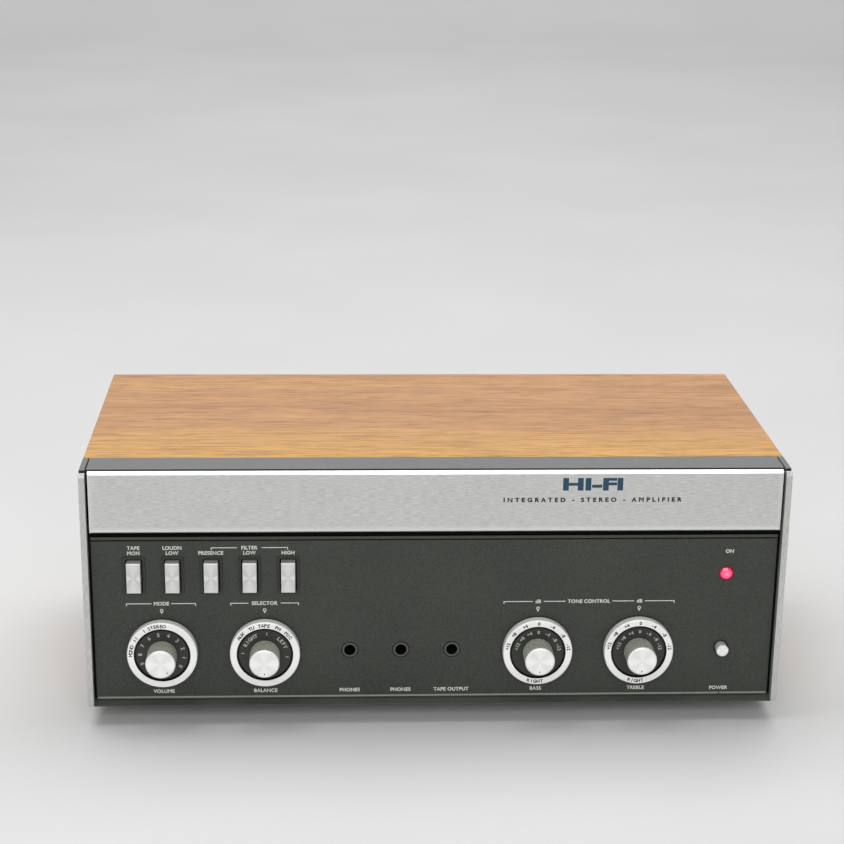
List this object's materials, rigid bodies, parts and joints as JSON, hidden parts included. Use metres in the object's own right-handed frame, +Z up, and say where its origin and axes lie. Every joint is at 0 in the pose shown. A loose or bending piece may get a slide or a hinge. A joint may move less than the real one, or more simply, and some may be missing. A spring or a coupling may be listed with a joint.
{
  "type": "integrated amplifier",
  "caption": "Integrated stereo amplifier: a wooden sleeve around a metal front with a bright fascia, dual concentric knobs, push keys, front jacks and a power button.",
  "frame": {"origin": "middle of the object's box in X and Y, on the surface that the feet stand on", "axes": "+X to the right seen from the front, +Y from the front to the rear, +Z up"},
  "size_m": [0.413, 0.23, 0.159],
  "materials": {
    "walnut": "oiled satin veneer, grain along the long edges",
    "grey_paint": "semi-matt grey enamel",
    "panel_black": "satin dark green-grey",
    "brushed_aluminium": "fine brushing along the width, clear anodised",
    "turned_aluminium": "turned faces, knurled side",
    "dark_skirt": "satin, with printed marks",
    "black_plastic": "fine satin",
    "zinc_sheet": "zinc plated",
    "nickel": "bright nickel plate",
    "red_lens": "clear red, lit",
    "core_steel": "laminated sheet, varnished",
    "winding": "wrapped in yellow tape",
    "board": "green laminate",
    "components": "sleeved capacitors",
    "heatsink": "black anodised",
    "wire": "vinyl",
    "foot_rubber": "matt"
  },
  "bodies": {
    "chassis": {"top_board": "walnut", "left_board": "walnut", "right_board": "walnut", "bottom_plate": "zinc_sheet", "rear_panel": "zinc_sheet", "top_band": "grey_paint", "left_cheek": "grey_paint", "right_cheek": "grey_paint", "left_trim": "brushed_aluminium", "right_trim": "brushed_aluminium", "upper_fascia": "brushed_aluminium", "control_panel": "panel_black", "bottom_rail": "panel_black", "front_chassis": "zinc_sheet", "key_bezels": "black_plastic", "key_switches": "black_plastic", "power_bezel": "black_plastic", "power_switch": "black_plastic", "pilot_lens": "red_lens", "pilot_holder": "black_plastic", "left_phones_jack": "black_plastic", "right_phones_jack": "black_plastic", "tape_output_jack": "black_plastic", "panel_nuts": "black_plastic", "control_pots": "zinc_sheet", "transformer_core": "core_steel", "transformer_winding": "winding", "amplifier_board": "board", "board_components": "components", "reservoir_capacitors": "components", "heatsink": "heatsink", "output_transistors": "nickel", "input_sockets": "nickel", "speaker_sockets": "black_plastic", "mains_inlet": "black_plastic", "wiring_loom": "wire", "feet": "foot_rubber", "case_screws": "nickel"},
    "tape_monitor": {"tape_monitor_key": "brushed_aluminium"},
    "loudness": {"loudness_key": "brushed_aluminium"},
    "presence": {"presence_key": "brushed_aluminium"},
    "low_filter": {"low_filter_key": "brushed_aluminium"},
    "high_filter": {"high_filter_key": "brushed_aluminium"},
    "power": {"power_button": "turned_aluminium"},
    "mode_outer": {"volume_ring": "turned_aluminium"},
    "volume_inner": {"volume_skirt": "dark_skirt", "volume_knob": "turned_aluminium", "volume_shaft": "nickel"},
    "selector_outer": {"balance_ring": "turned_aluminium"},
    "balance_inner": {"balance_skirt": "dark_skirt", "balance_knob": "turned_aluminium", "balance_shaft": "nickel"},
    "bass_right": {"bass_ring": "turned_aluminium"},
    "bass_left": {"bass_skirt": "dark_skirt", "bass_knob": "turned_aluminium", "bass_shaft": "nickel"},
    "treble_right": {"treble_ring": "turned_aluminium"},
    "treble_left": {"treble_skirt": "dark_skirt", "treble_knob": "turned_aluminium", "treble_shaft": "nickel"}
  },
  "joints": [
    {"name": "tape_monitor_push", "type": "slide", "parent": "chassis", "child": "tape_monitor", "axis": [0, 1, 0], "range_m": [0, 0.004]},
    {"name": "loudness_push", "type": "slide", "parent": "chassis", "child": "loudness", "axis": [0, 1, 0], "range_m": [0, 0.004]},
    {"name": "presence_push", "type": "slide", "parent": "chassis", "child": "presence", "axis": [0, 1, 0], "range_m": [0, 0.004]},
    {"name": "low_filter_push", "type": "slide", "parent": "chassis", "child": "low_filter", "axis": [0, 1, 0], "range_m": [0, 0.004]},
    {"name": "high_filter_push", "type": "slide", "parent": "chassis", "child": "high_filter", "axis": [0, 1, 0], "range_m": [0, 0.004]},
    {"name": "power_push", "type": "slide", "parent": "chassis", "child": "power", "axis": [0, 1, 0], "range_m": [0, 0.004]},
    {"name": "mode_outer_turn", "type": "hinge", "parent": "chassis", "child": "mode_outer", "pos_m": [-0.1616, -0.1, 0.0458], "axis": [0, 1, 0], "range_deg": [0, 72]},
    {"name": "volume_inner_turn", "type": "hinge", "parent": "chassis", "child": "volume_inner", "pos_m": [-0.1616, -0.1, 0.0458], "axis": [0, 1, 0], "range_deg": [-124, 140]},
    {"name": "selector_outer_turn", "type": "hinge", "parent": "chassis", "child": "selector_outer", "pos_m": [-0.1011, -0.1, 0.0458], "axis": [0, 1, 0], "range_deg": [-50, 50]},
    {"name": "balance_inner_turn", "type": "hinge", "parent": "chassis", "child": "balance_inner", "pos_m": [-0.1011, -0.1, 0.0458], "axis": [0, 1, 0], "range_deg": [-135, 135]},
    {"name": "bass_right_turn", "type": "hinge", "parent": "chassis", "child": "bass_right", "pos_m": [0.0608, -0.1, 0.0458], "axis": [0, 1, 0], "range_deg": [-75, 75]},
    {"name": "bass_left_turn", "type": "hinge", "parent": "chassis", "child": "bass_left", "pos_m": [0.0608, -0.1, 0.0458], "axis": [0, 1, 0], "range_deg": [-75, 75]},
    {"name": "treble_right_turn", "type": "hinge", "parent": "chassis", "child": "treble_right", "pos_m": [0.1213, -0.1, 0.0458], "axis": [0, 1, 0], "range_deg": [-75, 75]},
    {"name": "treble_left_turn", "type": "hinge", "parent": "chassis", "child": "treble_left", "pos_m": [0.1213, -0.1, 0.0458], "axis": [0, 1, 0], "range_deg": [-75, 75]}
  ]
}
